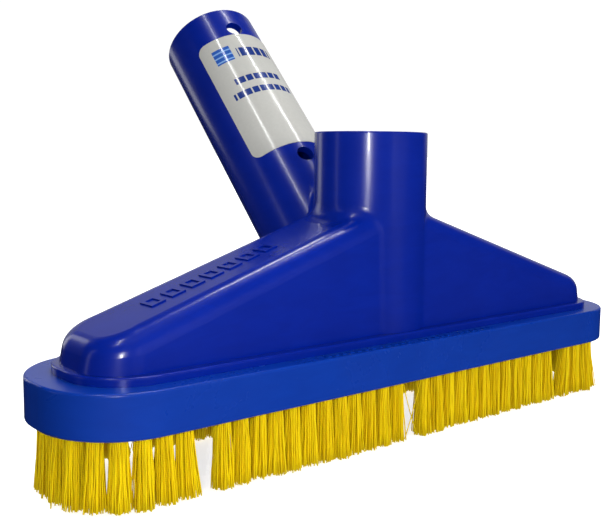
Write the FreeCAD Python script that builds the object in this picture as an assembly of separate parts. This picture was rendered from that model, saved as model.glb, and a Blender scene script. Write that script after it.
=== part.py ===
import FreeCAD, Part
import math
import os

# A vacuum brush head for a swimming pool: a hollow moulded hood with an upright hose port and a
# leaning pole socket, screwed onto a long brush base with one row of bristle tufts round its edge.
# Millimetres. X runs along the brush, +Y towards the pole, +Z up.
# The origin lies on the surface under the bristle tips, straight below the hose port's axis.

os.makedirs("parts", exist_ok=True)
Vector = FreeCAD.Vector
UP = Vector(0, 0, 1)

# ---------------------------------------------------------------- driving dimensions

BRISTLE_LENGTH = 21.0
BASE_LENGTH = 242.0
BASE_WIDTH = 52.6
BASE_CORNER_R = 24.0
BASE_THICKNESS = 12.7
BASE_EDGE_R = 0.8

SLOT_LENGTH = 208.0
SLOT_WIDTH = 26.0
SLOT_CORNER_R = 11.0
WEB_WIDTH = 11.0
WEB_HEIGHT = 8.0

LIP_LENGTH = 226.4
LIP_WIDTH = 41.2
LIP_CORNER_R = 17.7
LIP_THICKNESS = 2.4
LIP_EDGE_R = 0.7

DOME_LENGTH = 222.4
DOME_WIDTH = 34.0
DOME_CORNER_R = 12.7
DOME_DRAFT_HEIGHT = 50.0
DOME_END_DRAFT = 12.0
DOME_SIDE_DRAFT = 1.0
DOME_EDGE_R = 6.5
DOME_WALL = 2.4
ROOF_SLOPE = 18.1
ROOF_HEIGHT_AT_PORT = 73.3
ROOF_RIDGE_R = 40.0

PORT_R = 19.2
PORT_TOP = 101.9
PORT_WALL = 2.4
PORT_BLEND_R = 6.0
PORT_FREE_BOTTOM = 89.6
PORT_FOOT_DRAFT = 0.3
RIM_EDGE_R = 0.6

SOCKET_LEAN = 42.7
SOCKET_R = 18.9
SOCKET_BORE_R = 16.1
SOCKET_END = 143.9
SOCKET_FLOOR = 46.0
SOCKET_BLEND_R = 2.6
SOCKET_POCKET_R = 13.0
SOCKET_POCKET_FLOOR = 24.0

CLIP_HOLE_R = 3.25
CLIP_HOLE_STATIONS = (65.8, 132.6)
CLIP_HOLE_TURN = -9.5

LABEL_START = 71.4
LABEL_LENGTH = 57.7
LABEL_WIDTH = 37.0
LABEL_THICKNESS = 0.2
LABEL_CORNER_R = 3.6

SCREW_STATIONS = (-89.0, -37.0, 37.0, 89.0)
SCREW_SHANK_R = 1.7
SCREW_HEAD_R = 3.4
SCREW_HEAD_HEIGHT = 2.4
SCREW_HEAD_EDGE_R = 0.9
SCREW_REACH = 10.0
SCREW_TIP_GAP = 0.5
DRIVE_LENGTH = 3.8
DRIVE_WIDTH = 0.9
DRIVE_DEPTH = 1.5
SCREW_HOLE_R = 2.1
SCREW_RECESS_R = 3.9
SCREW_RECESS_DEPTH = 3.4
POST_R = 4.2

TUFT_R = 2.5
TUFT_TIP_R = 2.75
TUFT_HOLE_R = 2.6
TUFT_HOLE_DEPTH = 8.0
TUFT_INSET = 5.7
TUFT_PITCH = 6.25
FIRST_TUFT = 6.5
TUFTS_PER_RUN = 12
TUFTS_PER_NODE = 4
END_TUFT_START = 87.6
TUFTS_PER_END = 14
END_NODE_SIZES = (5, 4, 5)

ANCHOR_LENGTH = 6.6
ANCHOR_HEIGHT = 2.0
ANCHOR_THICKNESS = 0.6

FRAME_COUNT = 7
FRAME_PITCH = 7.0
FRAME_LENGTH = 4.8
FRAME_WIDTH = 7.0
FRAME_STROKE = 1.1
FRAME_HEIGHT = 0.4
FRAME_MIDDLE = 65.0
FRAME_SINK = 1.0

PIP_GROUPS = (7, 4, 5, 6)
PIP_PITCH = 3.1
PIP_GROUP_GAP = 3.6
PIP_WIDTH = 1.5
PIP_DEPTH = 2.0
PIP_HEIGHT = 0.3

# ---------------------------------------------------------------- worked-out sizes

BASE_BOTTOM = BRISTLE_LENGTH
BASE_TOP = BASE_BOTTOM + BASE_THICKNESS
LIP_TOP = BASE_TOP + LIP_THICKNESS
PORT_BORE_R = PORT_R - PORT_WALL
ROW_Y = BASE_WIDTH / 2 - TUFT_INSET
END_TURN_R = BASE_CORNER_R - TUFT_INSET
END_TURN_X = BASE_LENGTH / 2 - BASE_CORNER_R
LEAN = math.radians(SOCKET_LEAN)
SOCKET_AXIS = Vector(0, math.sin(LEAN), math.cos(LEAN))
SOCKET_FACE = Vector(0, -math.cos(LEAN), math.sin(LEAN))
SOCKET_ORIGIN = Vector(0, 0, BASE_TOP)
FAR = 400.0
TINY = 1e-3
ON_WALL = 0.02
LOWEST_JUNCTION = BASE_TOP + 0.01


def roof_height(x):
    """Height of the dome's sloping roof, before its edges are rounded."""
    return ROOF_HEIGHT_AT_PORT - (abs(x) - PORT_R) * math.tan(math.radians(ROOF_SLOPE))


def on_socket(station, turn=0.0, radius=0.0):
    """The point at a distance up the socket's axis, off it by radius at an angle round it."""
    across = Vector(1, 0, 0) * math.sin(turn) + SOCKET_FACE * math.cos(turn)
    return SOCKET_ORIGIN + SOCKET_AXIS * station + across * radius


# ---------------------------------------------------------------- plain shapes

def rounded_outline(length, width, corner_r, z):
    """A closed rectangle with round corners, lying level at height z."""
    half_length, half_width = length / 2, width / 2
    middle = corner_r * (1 - math.sqrt(0.5))
    edges = []
    for sign_x, sign_y in ((1, -1), (1, 1), (-1, 1), (-1, -1)):
        on_side = Vector(sign_x * half_length, sign_y * (half_width - corner_r), z)
        on_long = Vector(sign_x * (half_length - corner_r), sign_y * half_width, z)
        on_arc = Vector(sign_x * (half_length - middle), sign_y * (half_width - middle), z)
        first, last = (on_long, on_side) if sign_x * sign_y < 0 else (on_side, on_long)
        if edges:
            edges.append(Part.LineSegment(edges[-1].Vertexes[-1].Point, first).toShape())
        edges.append(Part.Arc(first, on_arc, last).toShape())
    start = edges[0].Vertexes[0].Point
    edges.append(Part.LineSegment(edges[-1].Vertexes[-1].Point, start).toShape())
    return Part.Wire(edges)


def rounded_block(length, width, corner_r, bottom, top):
    """An upright block with a round-cornered outline."""
    return Part.Face(rounded_outline(length, width, corner_r, bottom)).extrude(UP * (top - bottom))


def box(low, high):
    """A box between two opposite corners."""
    size = high - low
    return Part.makeBox(size.x, size.y, size.z, low)


def level_edges(shape, z):
    """The edges of a shape that lie wholly at height z."""
    return [e for e in shape.Edges if abs(e.BoundBox.ZMin - z) < TINY and e.BoundBox.ZLength < TINY]


def edge_points(edge):
    """Five points spread along an edge."""
    span = edge.LastParameter - edge.FirstParameter
    return [edge.valueAt(edge.FirstParameter + span * share) for share in (0.1, 0.3, 0.5, 0.7, 0.9)]


# ---------------------------------------------------------------- hood

def roof_prism(drop, bottom):
    """Everything below the two roof slopes, lowered by drop measured square to them."""
    half = DOME_LENGTH
    down = drop / math.cos(math.radians(ROOF_SLOPE))
    points = [Vector(-half, -FAR / 2, bottom), Vector(half, -FAR / 2, bottom)]
    points += [Vector(x, -FAR / 2, roof_height(x) - down) for x in (half, 0, -half)]
    prism = Part.Face(Part.makePolygon(points + points[:1])).extrude(Vector(0, FAR, 0))
    ridge = [e for e in prism.Edges if e.BoundBox.ZMin > roof_height(0) - down - TINY]
    return prism.makeFillet(ROOF_RIDGE_R, ridge)


def dome(inset):
    """The long tapering dome. An inset above 0 gives the hollow inside its wall."""
    length, width = DOME_LENGTH - 2 * inset, DOME_WIDTH - 2 * inset
    corner_r = DOME_CORNER_R - inset
    shrink_x = 2 * DOME_DRAFT_HEIGHT * math.tan(math.radians(DOME_END_DRAFT))
    shrink_y = 2 * DOME_DRAFT_HEIGHT * math.tan(math.radians(DOME_SIDE_DRAFT))
    outlines = [rounded_outline(length, width, corner_r, BASE_TOP),
                rounded_outline(length - shrink_x, width - shrink_y, corner_r - shrink_y / 2,
                                BASE_TOP + DOME_DRAFT_HEIGHT)]
    walls = Part.makeLoft(outlines, True, True)
    solid = walls.common(roof_prism(inset, BASE_TOP)).removeSplitter()
    brow = [e for e in solid.Edges
            if e.BoundBox.ZMin > LOWEST_JUNCTION and max(e.BoundBox.XLength, e.BoundBox.ZLength) > TINY]
    return solid.makeFillet(DOME_EDGE_R - inset, brow)


def port_radius(z):
    """The port's outside radius: straight where the hose goes, with a little draft below that."""
    return PORT_R + max(0.0, PORT_FREE_BOTTOM - z) * math.tan(math.radians(PORT_FOOT_DRAFT))


def port_outside():
    """The upright hose port, turned so that its seam faces the pole socket."""
    foot = Part.makeCone(port_radius(BASE_TOP), PORT_R, PORT_FREE_BOTTOM - BASE_TOP,
                         Vector(0, 0, BASE_TOP))
    free = Part.makeCylinder(PORT_R, PORT_TOP - PORT_FREE_BOTTOM, Vector(0, 0, PORT_FREE_BOTTOM))
    port = foot.fuse(free)
    port.rotate(Vector(0, 0, 0), UP, 90)
    return port


def port_bore():
    """The way up through the hose port, with its seam in the same place."""
    bore = Part.makeCylinder(PORT_BORE_R, PORT_TOP - BASE_TOP, Vector(0, 0, BASE_TOP))
    bore.rotate(Vector(0, 0, 0), UP, 90)
    return bore


def socket_cylinder(radius, start, end):
    """A length of cylinder on the leaning socket's axis."""
    return Part.makeCylinder(radius, end - start, on_socket(start), SOCKET_AXIS)


def junction_edges(shape, off_wall):
    """The edges where a round wall meets another surface, given how far points lie off that wall."""
    found = []
    for edge in shape.Edges:
        points = edge_points(edge)
        top = max(p.z for p in points)
        if all(abs(off_wall(p)) < ON_WALL for p in points) and LOWEST_JUNCTION < top < PORT_FREE_BOTTOM - 1:
            found.append(edge)
    return found


def off_port_wall(point):
    return math.hypot(point.x, point.y) - port_radius(point.z)


def off_socket_wall(point):
    across = point - SOCKET_ORIGIN
    return (across - SOCKET_AXIS * across.dot(SOCKET_AXIS)).Length - SOCKET_R


def hood_outside():
    """Dome, hose port and pole socket in one moulding, with blends where they meet."""
    body = dome(0).fuse(port_outside()).removeSplitter()
    body = body.makeFillet(PORT_BLEND_R, junction_edges(body, off_port_wall))
    below_base_top = box(Vector(-FAR, -FAR, BASE_TOP - FAR), Vector(FAR, FAR, BASE_TOP))
    socket = socket_cylinder(SOCKET_R, 0, SOCKET_END).cut(below_base_top)
    body = body.fuse(socket).removeSplitter()
    return body.makeFillet(SOCKET_BLEND_R, junction_edges(body, off_socket_wall))


def lip():
    """The flat brim by which the hood sits on the brush base."""
    brim = rounded_block(LIP_LENGTH, LIP_WIDTH, LIP_CORNER_R, BASE_TOP, LIP_TOP)
    return brim.makeFillet(LIP_EDGE_R, level_edges(brim, LIP_TOP))


def screw_posts(outside):
    """Posts that hang from the roof to the brush base, one for each screw."""
    posts = [Part.makeCylinder(POST_R, FAR, Vector(x, 0, BASE_TOP)) for x in SCREW_STATIONS]
    return [post.common(outside) for post in posts]


def socket_hollow(solid_below):
    """The pole's bore with a shoulder at its floor, and the cored pocket under the shoulder."""
    bore = socket_cylinder(SOCKET_BORE_R, SOCKET_FLOOR, SOCKET_END + 1)
    pocket = socket_cylinder(SOCKET_POCKET_R, SOCKET_POCKET_FLOOR, SOCKET_FLOOR + 1)
    return bore.fuse(pocket.cut(solid_below))


def clip_holes():
    """Holes for a pole's spring clip, right through both walls of the socket."""
    turn = math.radians(CLIP_HOLE_TURN)
    holes = []
    for station in CLIP_HOLE_STATIONS:
        start = on_socket(station, turn, SOCKET_R + 5)
        through = on_socket(station) - start
        holes.append(Part.makeCylinder(CLIP_HOLE_R, 2 * through.Length, start, through))
    return holes


def roof_frames():
    """A row of small raised oblong frames down one slope of the roof."""
    frames = []
    for i in range(FRAME_COUNT):
        along = (i - (FRAME_COUNT - 1) / 2) * FRAME_PITCH
        corner = Vector(FRAME_LENGTH / 2, FRAME_WIDTH / 2, 0)
        inner = corner - Vector(FRAME_STROKE, FRAME_STROKE, 0)
        frame = box(-corner - UP * FRAME_SINK, corner + UP * FRAME_HEIGHT)
        frame = frame.cut(box(-inner - UP * FAR, inner + UP * FAR))
        frame.translate(Vector(along, 0, 0))
        frame.rotate(Vector(0, 0, 0), Vector(0, 1, 0), -ROOF_SLOPE)
        frame.translate(Vector(-FRAME_MIDDLE, 0, roof_height(FRAME_MIDDLE)))
        frames.append(frame)
    return frames


def socket_rim(shape):
    """The two round edges at the socket's open end."""
    rim = []
    for edge in shape.Edges:
        stations = [(p - SOCKET_ORIGIN).dot(SOCKET_AXIS) for p in edge_points(edge)]
        if all(abs(station - SOCKET_END) < TINY for station in stations):
            rim.append(edge)
    return rim


def hood():
    outside = hood_outside()
    plain_inside = port_outside().fuse(dome(0))
    hollow = dome(DOME_WALL).fuse(port_bore())
    shell = outside.fuse([lip()] + roof_frames()).removeSplitter()
    shell = shell.cut([hollow, socket_hollow(plain_inside)] + clip_holes())
    shell = shell.fuse(screw_posts(dome(0))).removeSplitter()
    pilots = [Part.makeCylinder(SCREW_SHANK_R, SCREW_REACH, Vector(x, 0, BASE_TOP))
              for x in SCREW_STATIONS]
    shell = shell.cut(pilots)
    return shell.makeFillet(RIM_EDGE_R, level_edges(shell, PORT_TOP) + socket_rim(shell))


# ---------------------------------------------------------------- label

def off_socket_directions(turn):
    """Straight out from the socket's axis at an angle round it, and square to that."""
    out = on_socket(0, turn, 1) - SOCKET_ORIGIN
    over = on_socket(0, turn + math.pi / 2, 1) - SOCKET_ORIGIN
    return out, over


def label_side(edge_turn, side):
    """A block with one face along the label's side edge, taking away what lies beyond it."""
    out, over = off_socket_directions(edge_turn)
    near, far = on_socket(LABEL_START - 1) - out * FAR, on_socket(LABEL_START - 1) + out * FAR
    beyond = over * side * FAR
    face = Part.Face(Part.makePolygon([near, far, far + beyond, near + beyond, near]))
    return face.extrude(SOCKET_AXIS * (LABEL_LENGTH + 2))


def label_corner(end, along, turn, side):
    """What is cut away to round one corner of the label: a square less a disc."""
    out, over = off_socket_directions(turn)
    centre = on_socket(end - along * LABEL_CORNER_R, turn, PORT_BORE_R)
    beside = over * side * 2 * LABEL_CORNER_R
    ahead = SOCKET_AXIS * along * 2 * LABEL_CORNER_R
    face = Part.Face(Part.makePolygon([centre, centre + beside, centre + beside + ahead,
                                       centre + ahead, centre]))
    reach = SOCKET_R
    return face.extrude(out * reach).cut(Part.makeCylinder(LABEL_CORNER_R, reach, centre, out))


def label():
    """A thin printed label wrapped round the socket between its upper and lower clip holes."""
    label_end = LABEL_START + LABEL_LENGTH
    strip = socket_cylinder(SOCKET_R + LABEL_THICKNESS, LABEL_START, label_end)
    strip = strip.cut(socket_cylinder(SOCKET_R, LABEL_START - 1, label_end + 1))
    middle_turn = math.radians(CLIP_HOLE_TURN)
    half_angle = LABEL_WIDTH / 2 / SOCKET_R
    corner_angle = half_angle - LABEL_CORNER_R / SOCKET_R
    cutters = []
    for side in (-1, 1):
        cutters.append(label_side(middle_turn + side * half_angle, side))
        for end, along in ((LABEL_START, -1), (label_end, 1)):
            cutters.append(label_corner(end, along, middle_turn + side * corner_angle, side))
    return strip.cut(cutters)


# ---------------------------------------------------------------- brush base

def base_block():
    block = rounded_block(BASE_LENGTH, BASE_WIDTH, BASE_CORNER_R, BASE_BOTTOM, BASE_TOP)
    rim = level_edges(block, BASE_TOP) + level_edges(block, BASE_BOTTOM)
    return block.makeFillet(BASE_EDGE_R, rim)


def suction_slot():
    """The long slot through the base, less the webs that carry the screws."""
    slot = rounded_block(SLOT_LENGTH, SLOT_WIDTH, SLOT_CORNER_R, BASE_BOTTOM - 1, BASE_TOP + 1)
    webs = [box(Vector(x - WEB_WIDTH / 2, -SLOT_WIDTH, BASE_TOP - WEB_HEIGHT),
                Vector(x + WEB_WIDTH / 2, SLOT_WIDTH, BASE_TOP + 2)) for x in SCREW_STATIONS]
    return slot.cut(webs)


def screw_holes():
    """A clearance hole and a recess for the head, from below, at each screw."""
    web_bottom = BASE_TOP - WEB_HEIGHT
    holes = []
    for x in SCREW_STATIONS:
        holes.append(Part.makeCylinder(SCREW_HOLE_R, WEB_HEIGHT + 1, Vector(x, 0, web_bottom)))
        holes.append(Part.makeCylinder(SCREW_RECESS_R, SCREW_RECESS_DEPTH, Vector(x, 0, web_bottom)))
    return holes


def front_pips():
    """Groups of small raised pips along the base's front margin."""
    width = sum(count * PIP_PITCH for count in PIP_GROUPS) + (len(PIP_GROUPS) - 1) * PIP_GROUP_GAP
    y = -(LIP_WIDTH + BASE_WIDTH) / 4
    x = -width / 2
    pips = []
    for count in PIP_GROUPS:
        for i in range(count):
            left = x + i * PIP_PITCH
            pips.append(box(Vector(left, y - PIP_DEPTH / 2, BASE_TOP - 1),
                            Vector(left + PIP_WIDTH, y + PIP_DEPTH / 2, BASE_TOP + PIP_HEIGHT)))
        x += count * PIP_PITCH + PIP_GROUP_GAP
    return pips


def brush_base(places):
    holes = [Part.makeCylinder(TUFT_HOLE_R, TUFT_HOLE_DEPTH, Vector(x, y, BASE_BOTTOM))
             for x, y, _ in places]
    block = base_block().fuse(front_pips()).removeSplitter()
    block = block.cut([suction_slot()] + screw_holes() + holes)
    return block.cut([anchor(place) for place in places])


# ---------------------------------------------------------------- screws

def base_screw(x):
    """A pan-head screw from below, through its web and up into a post."""
    head_bottom = BASE_TOP - WEB_HEIGHT + SCREW_RECESS_DEPTH - SCREW_HEAD_HEIGHT
    head = Part.makeCylinder(SCREW_HEAD_R, SCREW_HEAD_HEIGHT, Vector(x, 0, head_bottom))
    head = head.makeFillet(SCREW_HEAD_EDGE_R, level_edges(head, head_bottom))
    shank_length = BASE_TOP + SCREW_REACH - SCREW_TIP_GAP - head_bottom
    shank = Part.makeCylinder(SCREW_SHANK_R, shank_length, Vector(x, 0, head_bottom))
    drive = []
    for length, width in ((DRIVE_LENGTH, DRIVE_WIDTH), (DRIVE_WIDTH, DRIVE_LENGTH)):
        drive.append(box(Vector(x - length / 2, -width / 2, head_bottom - 1),
                         Vector(x + length / 2, width / 2, head_bottom + DRIVE_DEPTH)))
    return head.fuse(shank).removeSplitter().cut(drive)


# ---------------------------------------------------------------- tufts and their anchors

def run_places(side_x, side_y):
    """Tufts of one straight run, counted from the middle gap outwards: x, y and row direction."""
    return [(side_x * (FIRST_TUFT + i * TUFT_PITCH), side_y * ROW_Y, 0.0)
            for i in range(TUFTS_PER_RUN)]


def end_place(side_x, distance):
    """The place at a distance along the row round one end, starting on the front straight."""
    straight = END_TURN_X - END_TUFT_START
    arc = END_TURN_R * math.pi / 2
    across = 2 * (ROW_Y - END_TURN_R)
    if distance < straight:
        x, y, turn = END_TUFT_START + distance, -ROW_Y, 0.0
    elif distance < straight + arc:
        turn = (distance - straight) / END_TURN_R
        x = END_TURN_X + END_TURN_R * math.sin(turn)
        y = -ROW_Y + END_TURN_R * (1 - math.cos(turn))
    else:
        x, y, turn = END_TURN_X + END_TURN_R, -across / 2 + distance - straight - arc, math.pi / 2
    return side_x * x, y, side_x * turn


def end_places(side_x):
    """Tufts round one end, from front to rear, evenly spaced and the same in both halves."""
    total = 2 * (END_TURN_X - END_TUFT_START) + math.pi * END_TURN_R + 2 * (ROW_Y - END_TURN_R)
    step = total / (TUFTS_PER_END - 1)
    front = [end_place(side_x, i * step) for i in range(TUFTS_PER_END // 2)]
    rear = [(x, -y, -turn) for x, y, turn in reversed(front)]
    return front + rear


def anchor(place):
    """The flat metal staple driven across a hole's end, which holds the folded bristles."""
    x, y, turn = place
    top = BASE_BOTTOM + TUFT_HOLE_DEPTH
    plate = box(Vector(-ANCHOR_THICKNESS / 2, -ANCHOR_LENGTH / 2, top - ANCHOR_HEIGHT),
                Vector(ANCHOR_THICKNESS / 2, ANCHOR_LENGTH / 2, top))
    plate.rotate(Vector(0, 0, 0), UP, math.degrees(turn))
    plate.translate(Vector(x, y, 0))
    return plate


def tuft(place):
    """One tuft: narrowest at the end held up in its hole, and spreading slightly to the tips."""
    x, y, _ = place
    length = BRISTLE_LENGTH + TUFT_HOLE_DEPTH - ANCHOR_HEIGHT
    return Part.makeCone(TUFT_TIP_R, TUFT_R, length, Vector(x, y, 0))


def tuft_layout():
    """Every tuft node's name with the places of its tufts, in order round the brush."""
    layout = {}
    for side_x, side_name in ((-1, "left"), (1, "right")):
        for side_y, row_name in ((-1, "front"), (1, "rear")):
            places = run_places(side_x, side_y)
            for i in range(0, TUFTS_PER_RUN, TUFTS_PER_NODE):
                name = f"tufts_{row_name}_{side_name}_{i // TUFTS_PER_NODE + 1}"
                layout[name] = places[i:i + TUFTS_PER_NODE]
        places, first = end_places(side_x), 0
        for number, size in enumerate(END_NODE_SIZES, 1):
            layout[f"tufts_{side_name}_end_{number}"] = places[first:first + size]
            first += size
    return layout


def anchor_nodes(layout):
    """The staples, one group for each long side and each end."""
    groups = {"staples_front": [], "staples_rear": [], "staples_left_end": [], "staples_right_end": []}
    for name, places in layout.items():
        group = next(g for g in groups if g.replace("staples", "tufts") in name)
        groups[group] += [anchor(place) for place in places]
    return groups


# ---------------------------------------------------------------- the whole head

def build():
    layout = tuft_layout()
    places = [place for node_places in layout.values() for place in node_places]
    nodes = {
        "hood": hood(),
        "label": label(),
        "brush_base": brush_base(places),
        "base_screws": Part.makeCompound([base_screw(x) for x in SCREW_STATIONS]),
    }
    for name, node_places in layout.items():
        nodes[name] = Part.makeCompound([tuft(place) for place in node_places])
    for name, anchors in anchor_nodes(layout).items():
        nodes[name] = Part.makeCompound(anchors)
    return nodes


for node, shape in build().items():
    shape.exportStep(f"parts/{node}.step")
    size = shape.BoundBox
    print(f"{node}: {len(shape.Solids)} solids, {size.XLength:.1f} x {size.YLength:.1f} x "
          f"{size.ZLength:.1f}, valid {shape.isValid()}")
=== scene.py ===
import bpy
import math
import numpy as np
from mathutils import Matrix, Vector


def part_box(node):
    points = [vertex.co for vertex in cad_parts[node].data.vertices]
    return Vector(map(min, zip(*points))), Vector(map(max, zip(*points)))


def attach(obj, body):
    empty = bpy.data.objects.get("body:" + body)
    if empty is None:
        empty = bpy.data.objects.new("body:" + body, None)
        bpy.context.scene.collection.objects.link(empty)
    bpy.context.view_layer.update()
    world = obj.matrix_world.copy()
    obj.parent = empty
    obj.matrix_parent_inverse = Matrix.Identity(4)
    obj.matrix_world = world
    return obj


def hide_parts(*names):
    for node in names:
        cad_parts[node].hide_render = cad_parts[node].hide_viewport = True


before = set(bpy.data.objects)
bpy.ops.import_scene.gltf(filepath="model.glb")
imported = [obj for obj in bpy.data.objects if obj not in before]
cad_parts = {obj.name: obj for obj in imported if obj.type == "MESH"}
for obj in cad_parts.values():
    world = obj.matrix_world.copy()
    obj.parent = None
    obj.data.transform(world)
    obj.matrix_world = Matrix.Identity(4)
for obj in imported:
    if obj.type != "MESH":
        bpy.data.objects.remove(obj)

# The looks of the pool vacuum head: moulded plastic on the CAD hood and brush base, a printed label,
# steel screws and staples, and every tuft replaced by a bundle of separate filaments.
# Metres, in the CAD model's frame.

MM = 0.001
PIP_HEIGHT = 0.3 * MM
BASE_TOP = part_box("brush_base")[1].z - PIP_HEIGHT
BASE_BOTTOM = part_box("brush_base")[0].z

SOCKET_LEAN = math.radians(42.7)
SOCKET_R = 18.9 * MM
LABEL_TURN = math.radians(-9.5)

FILAMENT_R = 0.20 * MM
FILAMENTS = 112
FILAMENT_SIDES = 5
TUFT_ROOT_R = 2.27 * MM
STRAY_SHARE = 0.015
STRAY_REACH = 0.9 * MM
LONGEST_CUT = 2.2 * MM
NEXT_TUFT_REACH = 8 * MM
UPRIGHT_SPLAY = 0.3 * MM
FREE_SPLAY = 3.0 * MM
END_START = 97 * MM
SEED = 740

PLASTIC_IOR = 1.46
COAT_ROUGHNESS = 0.045
SCUFF_BLUE = (0.16, 0.24, 0.55)
SCUFF_DULLNESS = 6.0
FILM_WHITES = ((0.475, 0.475, 0.447), (0.525, 0.525, 0.495))
EMBLEM_BLUES = ((0.025, 0.10, 0.42), (0.22, 0.40, 0.72))
TITLE_BLUE = (0.012, 0.035, 0.20)
THIN_MARK_BLUE = (0.016, 0.040, 0.21)

BACKDROP_LEVEL = 1.05
DIM_REFLECTION = 0.014
CAMERA_PLACE = (-0.2123, -0.22174, 0.0943)
CAMERA_YAW, CAMERA_PITCH, CAMERA_ROLL = 0.693, 0.117, 0.010
CAMERA_LENS = 52.41

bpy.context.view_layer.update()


# ---------------------------------------------------------------- node helpers

def new_material(name):
    """A new material with only a Principled shader on its output: the material, its tree and shader."""
    material = bpy.data.materials.new(name)
    material.use_nodes = True
    tree = material.node_tree
    tree.nodes.clear()
    shader = tree.nodes.new("ShaderNodeBsdfPrincipled")
    output = tree.nodes.new("ShaderNodeOutputMaterial")
    tree.links.new(shader.outputs["BSDF"], output.inputs["Surface"])
    return material, tree, shader


def object_position(tree):
    return tree.nodes.new("ShaderNodeTexCoord").outputs["Object"]


def scaled(tree, vector, factors):
    node = tree.nodes.new("ShaderNodeVectorMath")
    node.operation = "MULTIPLY"
    tree.links.new(vector, node.inputs[0])
    node.inputs[1].default_value = factors
    return node.outputs[0]


def dot_product(tree, vector, direction):
    node = tree.nodes.new("ShaderNodeVectorMath")
    node.operation = "DOT_PRODUCT"
    tree.links.new(vector, node.inputs[0])
    node.inputs[1].default_value = direction
    return node.outputs["Value"]


def noise(tree, vector, scale, detail=2.0, rough=0.5, distortion=0.0):
    node = tree.nodes.new("ShaderNodeTexNoise")
    node.inputs["Scale"].default_value = scale
    node.inputs["Detail"].default_value = detail
    node.inputs["Roughness"].default_value = rough
    node.inputs["Distortion"].default_value = distortion
    tree.links.new(vector, node.inputs["Vector"])
    return node.outputs["Fac"]


def math_node(tree, operation, a, b=0.0):
    node = tree.nodes.new("ShaderNodeMath")
    node.operation = operation
    for socket, value in zip(node.inputs, (a, b)):
        if isinstance(value, (int, float)):
            socket.default_value = value
        else:
            tree.links.new(value, socket)
    return node.outputs[0]


def spread(tree, value, low, high, to_low, to_high):
    """A value's range from low to high, mapped to another range and held at its ends."""
    node = tree.nodes.new("ShaderNodeMapRange")
    for name, number in (("From Min", low), ("From Max", high), ("To Min", to_low), ("To Max", to_high)):
        node.inputs[name].default_value = number
    tree.links.new(value, node.inputs["Value"])
    return node.outputs["Result"]


def mixed(tree, share, a, b):
    """Colour a where share is 0 and colour b where it is 1."""
    node = tree.nodes.new("ShaderNodeMix")
    node.data_type = "RGBA"
    tree.links.new(share, node.inputs["Factor"])
    for socket, value in ((node.inputs["A"], a), (node.inputs["B"], b)):
        if isinstance(value, tuple):
            socket.default_value = (*value, 1.0)
        else:
            tree.links.new(value, socket)
    return node.outputs["Result"]


def bump(tree, shader, layers, target="Normal"):
    """Stacks bump layers of (height, strength, distance) onto one of a shader's normals."""
    normal = None
    for height, strength, distance in layers:
        node = tree.nodes.new("ShaderNodeBump")
        node.inputs["Strength"].default_value = strength
        node.inputs["Distance"].default_value = distance
        tree.links.new(height, node.inputs["Height"])
        if normal is not None:
            tree.links.new(normal, node.inputs["Normal"])
        normal = node.outputs["Normal"]
    tree.links.new(normal, shader.inputs[target])


# ---------------------------------------------------------------- materials

def moulded_plastic(name, colour, deep_colour, roughness, coat, ripple, grain, lines):
    """Coloured moulded plastic: cloudy pigment, scuffs, sink ripples, fine grain and faint level lines."""
    material, tree, shader = new_material(name)
    place = object_position(tree)
    cloud = noise(tree, place, 38.0, 3.0)
    flow = noise(tree, scaled(tree, place, (1.0, 1.0, 3.5)), 85.0, 4.0, 0.6, 0.8)
    shade = spread(tree, math_node(tree, "MULTIPLY", cloud, flow), 0.12, 0.42, 0.0, 1.0)
    scuffs = noise(tree, scaled(tree, place, (60.0, 45.0, 260.0)), 7.0, 5.0, 0.65, 0.2)
    scuff_share = spread(tree, scuffs, 0.70, 0.84, 0.0, 0.015)
    body = mixed(tree, shade, deep_colour, colour)
    tree.links.new(mixed(tree, scuff_share, body, SCUFF_BLUE), shader.inputs["Base Color"])
    smears = noise(tree, place, 22.0, 5.0, 0.65, 0.6)
    dull = spread(tree, smears, 0.30, 0.75, roughness * 0.90, roughness * 1.16)
    scuff_dull = math_node(tree, "MULTIPLY", scuff_share, SCUFF_DULLNESS)
    tree.links.new(math_node(tree, "ADD", dull, scuff_dull), shader.inputs["Roughness"])
    slow = noise(tree, place, 46.0, 1.0)
    fine = noise(tree, place, 1500.0, 2.0)
    level = noise(tree, scaled(tree, place, (10.0, 10.0, 420.0)), 1.0, 3.0, 0.7)
    bump(tree, shader, [(slow, ripple, 0.6 * MM), (level, lines, 0.05 * MM), (fine, grain, 0.03 * MM)])
    bump(tree, shader, [(slow, ripple, 0.6 * MM), (fine, grain * 0.4, 0.02 * MM)], "Coat Normal")
    shader.inputs["IOR"].default_value = PLASTIC_IOR
    shader.inputs["Coat Weight"].default_value = coat
    shader.inputs["Coat Roughness"].default_value = COAT_ROUGHNESS
    shader.inputs["Coat IOR"].default_value = PLASTIC_IOR
    return material


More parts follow.
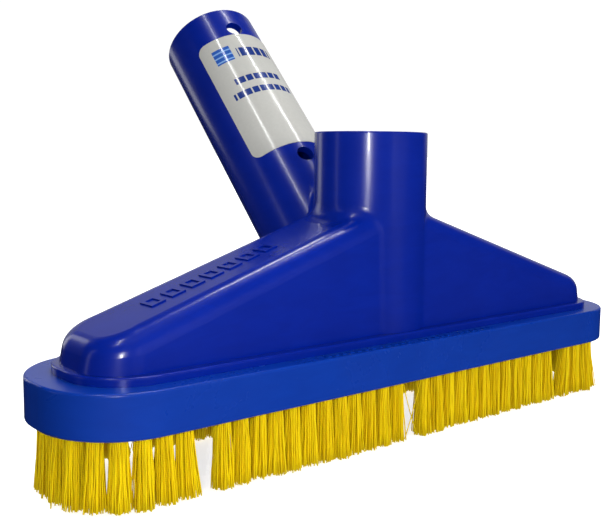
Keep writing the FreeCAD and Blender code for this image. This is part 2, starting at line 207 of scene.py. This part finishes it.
def filament_plastic():
    """Drawn yellow filament: each one has its own tone, with faint streaks along it."""
    material, tree, shader = new_material("bristle_filament")
    tone = tree.nodes.new("ShaderNodeAttribute")
    tone.attribute_name = "tone"
    streaks = noise(tree, scaled(tree, object_position(tree), (1.0, 1.0, 0.12)), 1500.0, 3.0)
    own = math_node(tree, "ADD", math_node(tree, "MULTIPLY", tone.outputs["Fac"], 0.75),
                    math_node(tree, "MULTIPLY", streaks, 0.35))
    ramp = tree.nodes.new("ShaderNodeValToRGB")
    stops = ((0.0, (0.78, 0.50, 0.001)), (0.35, (0.87, 0.61, 0.001)), (0.7, (0.91, 0.67, 0.001)),
             (1.0, (0.95, 0.74, 0.003)))
    while len(ramp.color_ramp.elements) < len(stops):
        ramp.color_ramp.elements.new(0.5)
    for element, (position, colour) in zip(ramp.color_ramp.elements, stops):
        element.position = position
        element.color = (*colour, 1.0)
    tree.links.new(own, ramp.inputs["Fac"])
    tree.links.new(ramp.outputs["Color"], shader.inputs["Base Color"])
    tree.links.new(spread(tree, streaks, 0.3, 0.7, 0.38, 0.56), shader.inputs["Roughness"])
    shader.inputs["Specular IOR Level"].default_value = 0.15
    shader.inputs["Subsurface Weight"].default_value = 0.2
    shader.inputs["Subsurface Radius"].default_value = (1.0, 0.8, 0.05)
    shader.inputs["Subsurface Scale"].default_value = 0.4 * MM
    bump(tree, shader, [(streaks, 0.15, 0.03 * MM)])
    return material


def steel(name, roughness):
    """Rolled or turned stainless steel with fine directional marks."""
    material, tree, shader = new_material(name)
    place = object_position(tree)
    marks = noise(tree, scaled(tree, place, (1.0, 12.0, 12.0)), 420.0, 4.0, 0.6)
    stain = noise(tree, place, 160.0, 3.0)
    tree.links.new(mixed(tree, stain, (0.66, 0.66, 0.63), (0.42, 0.41, 0.39)), shader.inputs["Base Color"])
    tree.links.new(spread(tree, marks, 0.3, 0.7, roughness * 0.8, roughness * 1.4),
                   shader.inputs["Roughness"])
    shader.inputs["Metallic"].default_value = 1.0
    bump(tree, shader, [(marks, 0.2, 0.02 * MM)])
    return material


def band(tree, value, low, high):
    """1 where a value lies between low and high, else 0."""
    above = math_node(tree, "GREATER_THAN", value, low)
    below = math_node(tree, "LESS_THAN", value, high)
    return math_node(tree, "MULTIPLY", above, below)


def dashes(tree, along, pitch, share):
    """1 on the marks of an evenly dashed line, else 0."""
    phase = math_node(tree, "FRACT", math_node(tree, "DIVIDE", along, pitch))
    return math_node(tree, "LESS_THAN", phase, share)


def printed_film():
    """The label's printed film: off-white, with plain blocks and dashed lines in place of any wording."""
    material, tree, shader = new_material("label_print")
    place = object_position(tree)
    offset = tree.nodes.new("ShaderNodeVectorMath")
    offset.operation = "SUBTRACT"
    tree.links.new(place, offset.inputs[0])
    offset.inputs[1].default_value = (0.0, 0.0, BASE_TOP)
    from_foot = offset.outputs[0]

    sin, cos = math.sin(SOCKET_LEAN), math.cos(SOCKET_LEAN)
    station = math_node(tree, "DIVIDE", dot_product(tree, from_foot, (0.0, sin, cos)), MM)
    sideways = dot_product(tree, from_foot, (1.0, 0.0, 0.0))
    outwards = dot_product(tree, from_foot, (0.0, -cos, sin))
    turn = math_node(tree, "ARCTAN2", sideways, outwards)
    across = math_node(tree, "MULTIPLY", math_node(tree, "SUBTRACT", turn, LABEL_TURN), SOCKET_R / MM)

    def block(low, high, left, right):
        return math_node(tree, "MULTIPLY", band(tree, station, low, high), band(tree, across, left, right))

    def marks(low, high, left, right, pitch, share):
        return math_node(tree, "MULTIPLY", block(low, high, left, right), dashes(tree, across, pitch, share))

    emblem = block(116.6, 124.0, -13.7, -6.4)
    stripes = math_node(tree, "MULTIPLY", emblem, dashes(tree, station, 2.3, 0.28))
    title = marks(117.2, 121.8, -4.4, 11.0, 3.3, 0.80)
    thin = math_node(tree, "MAXIMUM", marks(104.6, 107.6, -10.9, 9.0, 3.1, 0.80),
                     marks(98.2, 101.2, -13.9, 11.3, 3.1, 0.80))

    mottle = noise(tree, place, 900.0, 3.0)
    colour = mixed(tree, mottle, *FILM_WHITES)
    colour = mixed(tree, emblem, colour, EMBLEM_BLUES[0])
    colour = mixed(tree, stripes, colour, EMBLEM_BLUES[1])
    colour = mixed(tree, title, colour, TITLE_BLUE)
    colour = mixed(tree, thin, colour, THIN_MARK_BLUE)
    tree.links.new(colour, shader.inputs["Base Color"])
    tree.links.new(spread(tree, noise(tree, place, 70.0, 4.0), 0.3, 0.7, 0.10, 0.18),
                   shader.inputs["Roughness"])
    ripples = noise(tree, place, 130.0, 2.0)
    bump(tree, shader, [(ripples, 0.10, 0.2 * MM), (mottle, 0.06, 0.02 * MM)])
    return material


def set_material(node_name, material):
    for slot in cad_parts[node_name].material_slots:
        slot.material = material


hood_plastic = moulded_plastic("hood_gloss_blue", (0.0002, 0.0150, 0.285), (0.0002, 0.0122, 0.245),
                               roughness=0.23, coat=0.15, ripple=0.10, grain=0.12, lines=0.0)
base_plastic = moulded_plastic("base_satin_blue", (0.0002, 0.0375, 0.350), (0.0002, 0.0312, 0.305),
                               roughness=0.27, coat=0.10, ripple=0.07, grain=0.12, lines=0.01)
set_material("hood", hood_plastic)
set_material("brush_base", base_plastic)
set_material("label", printed_film())
set_material("base_screws", steel("screw_steel", 0.30))
staple_steel = steel("staple_steel", 0.36)
for node_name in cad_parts:
    if node_name.startswith("staples_"):
        set_material(node_name, staple_steel)


# ---------------------------------------------------------------- bristles

def tuft_centres(node_name):
    """Where each tuft of a CAD node stands, from the separate rings of vertices at its tips."""
    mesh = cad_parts[node_name].data
    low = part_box(node_name)[0].z + 0.1 * MM
    group = {v.index: v.index for v in mesh.vertices if v.co.z < low}

    def root(index):
        while group[index] != index:
            index = group[index]
        return index

    for edge in mesh.edges:
        a, b = edge.vertices
        if a in group and b in group:
            group[root(a)] = root(b)
    rings = {}
    for index in group:
        rings.setdefault(root(index), []).append(mesh.vertices[index].co)
    centres = []
    for ring in rings.values():
        xs, ys = [p.x for p in ring], [p.y for p in ring]
        centre = Vector(((min(xs) + max(xs)) / 2, (min(ys) + max(ys)) / 2))
        if all((centre - other).length > 1 * MM for other in centres):
            centres.append(centre)
    return sorted(centres, key=lambda c: (c.x, c.y))


def gap_pull(centre, centres):
    """How far, and which way, a tuft beside a gap splays. Beside the front row's middle and left gaps
    it hardly does."""
    near = [other - centre for other in centres if 1 * MM < (other - centre).length < NEXT_TUFT_REACH]
    if len(near) != 1:
        return Vector((0.0, 0.0))
    beside_middle = abs(centre.x) < 10 * MM
    upright = centre.y < 0 and (beside_middle or -80 * MM < centre.x < 0)
    return near[0].normalized() * -(UPRIGHT_SPLAY if upright else FREE_SPLAY)


def end_pull(centre):
    """The lean of the tufts round the ends, which spread outwards a little from the brush."""
    reach = abs(centre.x) - END_START
    if reach <= 0:
        return Vector((0.0, 0.0))
    out = Vector((math.copysign(reach, centre.x), centre.y)).normalized()
    return out * (1.4 * MM if centre.x > 0 else 0.5 * MM)


def filament_lines(centre, pull, top, random):
    """Centre lines of one tuft's filaments, as an array of filament, point and coordinate."""
    order = np.arange(FILAMENTS)
    radius = TUFT_ROOT_R * np.sqrt((order + 0.5) / FILAMENTS)
    angle = order * math.pi * (3 - math.sqrt(5)) + random.uniform(0, 2 * math.pi)
    root = np.stack([radius * np.cos(angle), radius * np.sin(angle)], 1)
    root += random.normal(0, 0.05 * MM, root.shape)

    flare = random.uniform(1.24, 1.42)
    tip = root * flare + random.normal(0, 0.30 * MM, root.shape)
    tip += random.normal(0, 0.26 * MM, 2) + np.array(end_pull(centre))
    if pull.length > 0:
        free_side = (root @ np.array(pull.normalized()) / TUFT_ROOT_R * 0.5 + 0.5)[:, None]
        tip += np.array(pull) * free_side * random.uniform(0.55, 1.1, (FILAMENTS, 1))
    strays = random.random(FILAMENTS) < STRAY_SHARE
    tip[strays] += random.normal(0, STRAY_REACH, (strays.sum(), 2))

    worn = 0.55 * MM if centre.x < -60 * MM else 0.15 * MM
    tip_z = np.abs(random.normal(0, 0.42 * MM, FILAMENTS)) + random.uniform(0, 0.5 * MM) + worn
    tip_z = np.clip(tip_z, 0.02 * MM, LONGEST_CUT)
    bow = random.normal(0, 0.16 * MM, root.shape)
    wave = random.normal(0, 0.07 * MM, root.shape)
    shares = np.array([0.0, 0.16, 0.34, 0.54, 0.77, 1.0])
    lines = np.zeros((FILAMENTS, len(shares) + 1, 3))
    lines[:, 0, :2], lines[:, 0, 2] = root, top
    for i, share in enumerate(shares, 1):
        side = bow * math.sin(share * math.pi) + wave * math.sin(share * 3 * math.pi)
        lines[:, i, :2] = root + (tip - root) * share ** 1.15 + side
        lines[:, i, 2] = BASE_BOTTOM + (tip_z - BASE_BOTTOM) * share
    lines[:, :, :2] += np.array(centre)
    return lines


def tube_mesh(name, lines, radii, tones):
    """A mesh of tubes along the lines, with a flat cut at each tip and a tone apiece."""
    count, points, _ = lines.shape
    sides = FILAMENT_SIDES
    turn = np.arange(sides) * 2 * math.pi / sides
    ring = np.stack([np.cos(turn), np.sin(turn), np.zeros(sides)], 1)
    verts = lines[:, :, None, :] + radii[:, None, None, None] * ring[None, None, :, :]
    verts = verts.reshape(-1, 3)

    first = (np.arange(count) * points * sides)[:, None, None]
    level = (np.arange(points - 1) * sides)[None, :, None]
    here = np.arange(sides)[None, None, :]
    there = (here + 1) % sides
    start = first + level
    quads = np.stack([start + here, start + sides + here, start + sides + there, start + there], -1)
    quads = quads.reshape(-1, 4)
    caps = (np.arange(count) * points * sides + (points - 1) * sides)[:, None] + np.arange(sides)[::-1]

    loops = np.concatenate([quads.ravel(), caps.ravel()]).astype(np.int32)
    sizes = np.concatenate([np.full(len(quads), 4), np.full(len(caps), sides)]).astype(np.int32)
    starts = np.concatenate([[0], np.cumsum(sizes)[:-1]]).astype(np.int32)
    mesh = bpy.data.meshes.new(name)
    mesh.vertices.add(len(verts))
    mesh.vertices.foreach_set("co", verts.astype(np.float32).ravel())
    mesh.loops.add(len(loops))
    mesh.loops.foreach_set("vertex_index", loops)
    mesh.polygons.add(len(sizes))
    mesh.polygons.foreach_set("loop_start", starts)
    smooth = np.concatenate([np.ones(len(quads), bool), np.zeros(len(caps), bool)])
    mesh.update(calc_edges=True)
    mesh.polygons.foreach_set("use_smooth", smooth)
    tone = mesh.attributes.new("tone", "FLOAT", "POINT")
    tone.data.foreach_set("value", np.repeat(tones, points * sides).astype(np.float32))
    mesh.validate()
    return mesh


def crossed_filaments(centres):
    """Two stray filaments that lean out of the tufts beside the middle gap and cross in it."""
    lines = []
    inner = min(abs(c.x) for c in centres if c.y < 0)
    row_y = min(c.y for c in centres) - 1.3 * MM
    for side in (-1, 1):
        start = Vector((side * (inner - 1.9 * MM), row_y, BASE_BOTTOM))
        end = Vector((-side * (inner - 3.2 * MM), row_y - 0.5 * MM * side, 0.9 * MM))
        line = []
        for share in (-0.25, 0.0, 0.2, 0.4, 0.6, 0.8, 1.0):
            point = start + (end - start) * max(share, 0.0)
            point.x += side * 0.35 * MM * math.sin(max(share, 0.0) * math.pi)
            point.z -= min(share, 0.0) * 12 * MM
            line.append(point)
        lines.append([tuple(p) for p in line])
    return np.array(lines)


def add_bristles():
    """Replaces each CAD tuft node by one mesh of all its tufts' filaments."""
    bristle = filament_plastic()
    tuft_nodes = sorted(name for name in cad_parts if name.startswith("tufts_"))
    node_centres = {name: tuft_centres(name) for name in tuft_nodes}
    all_centres = [centre for centres in node_centres.values() for centre in centres]
    random = np.random.default_rng(SEED)
    for node_name in tuft_nodes:
        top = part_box(node_name)[1].z
        bundles, tones = [], []
        for centre in node_centres[node_name]:
            bundle = filament_lines(centre, gap_pull(centre, all_centres), top, random)
            bundles.append(bundle)
            tuft_tone = random.uniform(-0.10, 0.10)
            tones.append(np.clip(random.normal(0.55 + tuft_tone, 0.20, len(bundle)), 0, 1))
        if node_name == "tufts_front_left_1":
            strays = crossed_filaments(all_centres)
            bundles.append(strays)
            tones.append(np.full(len(strays), 0.7))
        lines = np.concatenate(bundles)
        radii = FILAMENT_R * random.uniform(0.86, 1.10, len(lines))
        name = node_name.replace("tufts", "bristles")
        piece = bpy.data.objects.new(name, tube_mesh(name, lines, radii, np.concatenate(tones)))
        bpy.context.scene.collection.objects.link(piece)
        piece.data.materials.append(bristle)
        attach(piece, "root")
        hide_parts(node_name)


add_bristles()


# ---------------------------------------------------------------- floor, light and camera

def aimed(name, data, place, target):
    """Adds a light at a place, looking at a target."""
    light = bpy.data.objects.new(name, data)
    light.location = place
    light.rotation_mode = "QUATERNION"
    light.rotation_quaternion = (Vector(target) - Vector(place)).to_track_quat("-Z", "Y")
    bpy.context.scene.collection.objects.link(light)
    return light


def soft_sun(name, direction, strength, angle):
    """Broad light from far off, which lights surfaces without showing in their gloss."""
    data = bpy.data.lights.new(name, "SUN")
    data.energy = strength
    data.angle = math.radians(angle)
    aimed(name, data, direction, (0, 0, 0)).visible_glossy = False


def strip(name, ends, width, radiance):
    """A rectangular softbox between two points, facing the object, which shows in its gloss."""
    a, b = Vector(ends[0]), Vector(ends[1])
    data = bpy.data.lights.new(name, "AREA")
    data.shape = "RECTANGLE"
    data.size = (b - a).length
    data.size_y = width
    data.energy = radiance * math.pi * data.size * data.size_y
    middle = (a + b) / 2
    along = (b - a).normalized()
    back = (middle - Vector((0, 0.03, 0.09))).normalized()
    up = back.cross(along).normalized()
    back = along.cross(up)
    light = bpy.data.objects.new(name, data)
    light.matrix_world = Matrix.Translation(middle) @ Matrix((along, up, back)).transposed().to_4x4()
    light.visible_camera = False
    bpy.context.scene.collection.objects.link(light)


def fill(name, place, target, size, radiance):
    """A square softbox close by, which lights surfaces without showing in their gloss."""
    data = bpy.data.lights.new(name, "AREA")
    data.size = size
    data.energy = radiance * math.pi * size ** 2
    light = aimed(name, data, place, target)
    light.visible_glossy = False
    light.visible_camera = False


def floor():
    bpy.ops.mesh.primitive_plane_add(size=60, location=(0, 0, -0.05 * MM))
    plane = bpy.context.object
    plane.name = "floor"
    material, tree, shader = new_material("pale_floor")
    place = object_position(tree)
    tree.links.new(mixed(tree, noise(tree, place, 3.0, 3.0), (0.86, 0.86, 0.86), (0.90, 0.90, 0.90)),
                   shader.inputs["Base Color"])
    shader.inputs["Roughness"].default_value = 0.85
    shader.inputs["Specular IOR Level"].default_value = 0.0
    shader.inputs["Emission Color"].default_value = (1.0, 1.0, 1.0, 1.0)
    shader.inputs["Emission Strength"].default_value = 0.75
    plane.data.materials.append(material)
    plane.visible_glossy = False
    plane.visible_diffuse = False


def studio_world():
    """A white backdrop for the camera, a room that lights the object most from the front and below,
    and for its gloss a dark room with a bright wall behind on the right."""
    world = bpy.data.worlds.new("studio")
    bpy.context.scene.world = world
    world.use_nodes = True
    # Only rays gather the room's light, because the room looks different to glossy rays.
    world.cycles.sampling_method = "NONE"
    tree = world.node_tree
    tree.nodes.clear()
    output = tree.nodes.new("ShaderNodeOutputWorld")
    direction = tree.nodes.new("ShaderNodeTexCoord").outputs["Generated"]
    axes = tree.nodes.new("ShaderNodeSeparateXYZ")
    tree.links.new(direction, axes.inputs[0])

    def towards(x, y, z):
        return dot_product(tree, direction, Vector((x, y, z)).normalized())

    wall = spread(tree, towards(0.639, 0.769, 0.0), 0.62, 0.95, 0.0, 1.0)
    height = spread(tree, axes.outputs["Z"], 0.45, 0.95, 0.60, 0.08)
    above = spread(tree, axes.outputs["Z"], -0.02, 0.02, 0.0, 1.0)
    bright = math_node(tree, "MULTIPLY", math_node(tree, "MULTIPLY", wall, height), above)
    shown = math_node(tree, "ADD", bright, DIM_REFLECTION)
    lit = spread(tree, towards(0.2, -0.8, -0.5), -0.6, 0.8, 0.15, 0.85)
    path = tree.nodes.new("ShaderNodeLightPath")
    level = tree.nodes.new("ShaderNodeMix")
    tree.links.new(path.outputs["Is Glossy Ray"], level.inputs["Factor"])
    tree.links.new(lit, level.inputs["A"])
    tree.links.new(shown, level.inputs["B"])
    room = tree.nodes.new("ShaderNodeBackground")
    tree.links.new(level.outputs["Result"], room.inputs["Strength"])
    backdrop = tree.nodes.new("ShaderNodeBackground")
    backdrop.inputs["Color"].default_value = (1.0, 1.0, 1.0, 1.0)
    backdrop.inputs["Strength"].default_value = BACKDROP_LEVEL
    choice = tree.nodes.new("ShaderNodeMixShader")
    tree.links.new(path.outputs["Is Camera Ray"], choice.inputs[0])
    tree.links.new(room.outputs[0], choice.inputs[1])
    tree.links.new(backdrop.outputs[0], choice.inputs[2])
    tree.links.new(choice.outputs[0], output.inputs["Surface"])


def photo_camera():
    """The scene's camera, from its place, heading, pitch and roll."""
    yaw, pitch, roll = CAMERA_YAW, CAMERA_PITCH, CAMERA_ROLL
    forward = Vector((math.sin(yaw) * math.cos(pitch), math.cos(yaw) * math.cos(pitch), -math.sin(pitch)))
    level = Vector((math.cos(yaw), -math.sin(yaw), 0))
    upright = level.cross(forward)
    right = level * math.cos(roll) + upright * math.sin(roll)
    up = upright * math.cos(roll) - level * math.sin(roll)
    data = bpy.data.cameras.new("camera")
    data.sensor_fit = "HORIZONTAL"
    data.sensor_width = 36.0
    data.lens = CAMERA_LENS
    data.clip_start = 0.01
    data.clip_end = 100
    camera = bpy.data.objects.new("camera", data)
    turn = Matrix((right, up, -forward)).transposed().to_4x4()
    camera.matrix_world = Matrix.Translation(CAMERA_PLACE) @ turn
    bpy.context.scene.collection.objects.link(camera)
    bpy.context.scene.camera = camera


def studio_lights():
    """Soft light from three sides, and narrow lights whose reflections make the streaks and glints."""
    soft_sun("key", (0.30, -1.00, 0.20), 1.65, 40)
    soft_sun("back_right", (0.60, 0.35, 0.75), 1.38, 40)
    soft_sun("rear", (0.25, 0.95, 0.14), 1.35, 60)
    fill("port_fill", (-0.10, -0.05, 0.16), (-0.01, 0.0, 0.08), 0.08, 2.1)
    strip("lamp", ((-0.233, -0.2135, 0.097), (-0.233, -0.2135, 0.109)), 0.012, 480.0)
    strip("overhead_left", ((-0.34, 0.10, 1.2), (-0.74, -0.30, 1.2)), 0.040, 26.0)
    strip("overhead_right", ((0.27, 0.08, 1.2), (0.56, -0.20, 1.2)), 0.030, 45.0)
    strip("overhead_rear", ((0.16, 0.27, 1.2), (0.42, 0.40, 1.2)), 0.030, 70.0)
    strip("rear_box", ((-0.25, 1.1, 0.0), (-0.25, 1.1, 0.7)), 0.25, 1.6)
    strip("side_left_box", ((-0.95, 0.43, 0.0), (-0.95, 0.43, 0.7)), 0.12, 0.8)
    strip("front_box", ((0.08, -1.1, 0.0), (0.08, -1.1, 0.6)), 0.10, 0.4)


floor()
studio_world()
studio_lights()
photo_camera()
bpy.context.scene.view_settings.view_transform = "Standard"
